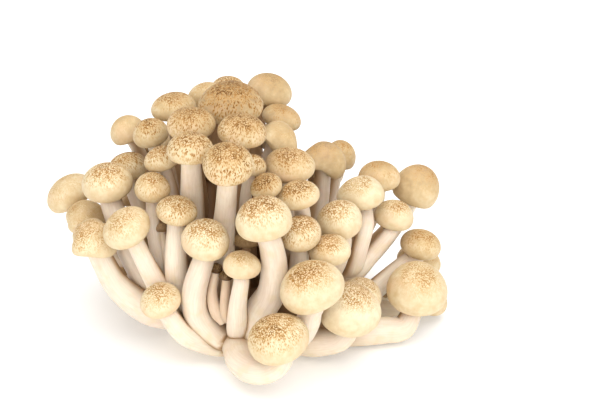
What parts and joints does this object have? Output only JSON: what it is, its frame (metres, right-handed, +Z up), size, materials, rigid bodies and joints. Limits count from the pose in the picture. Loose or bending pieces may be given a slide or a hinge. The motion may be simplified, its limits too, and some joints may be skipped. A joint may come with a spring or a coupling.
{
  "type": "beech mushroom cluster",
  "caption": "Clump of small round-capped beech mushrooms, tan caps on cream stems that splay from a shared butt with a flat cut face.",
  "frame": {"origin": "centre of the butt's flat cut face, on the surface it stands on", "axes": "+Z up out of the cut face, +X to the viewer's right and along the widest way, +Y away from the viewer"},
  "size_m": [0.1322, 0.1227, 0.0779],
  "materials": {
    "cap_skin": "tan skin with darker freckles, satin",
    "stem_flesh": "cream flesh with fine lengthwise fibres, satin"
  },
  "bodies": {
    "root": {"stem_cluster": "stem_flesh", "cap_01": "cap_skin", "cap_02": "cap_skin", "cap_03": "cap_skin", "cap_04": "cap_skin", "cap_05": "cap_skin", "cap_06": "cap_skin", "cap_07": "cap_skin", "cap_08": "cap_skin", "cap_09": "cap_skin", "cap_10": "cap_skin", "cap_11": "cap_skin", "cap_12": "cap_skin", "cap_13": "cap_skin", "cap_14": "cap_skin", "cap_15": "cap_skin", "cap_16": "cap_skin", "cap_17": "cap_skin", "cap_18": "cap_skin", "cap_19": "cap_skin", "cap_20": "cap_skin", "cap_21": "cap_skin", "cap_22": "cap_skin", "cap_23": "cap_skin", "cap_24": "cap_skin", "cap_25": "cap_skin", "cap_26": "cap_skin", "cap_27": "cap_skin", "cap_28": "cap_skin", "cap_29": "cap_skin", "cap_30": "cap_skin", "cap_31": "cap_skin", "cap_32": "cap_skin", "cap_33": "cap_skin", "cap_34": "cap_skin", "cap_35": "cap_skin", "cap_36": "cap_skin", "cap_37": "cap_skin", "cap_38": "cap_skin", "cap_39": "cap_skin", "cap_40": "cap_skin", "cap_41": "cap_skin", "cap_42": "cap_skin", "cap_43": "cap_skin", "cap_44": "cap_skin", "cap_45": "cap_skin", "cap_46": "cap_skin", "cap_47": "cap_skin", "cap_48": "cap_skin", "cap_49": "cap_skin", "cap_50": "cap_skin", "cap_51": "cap_skin", "cap_52": "cap_skin", "cap_53": "cap_skin", "cap_54": "cap_skin", "cap_55": "cap_skin", "cap_56": "cap_skin", "cap_57": "cap_skin", "cap_58": "cap_skin", "cap_59": "cap_skin"}
  },
  "joints": []
}
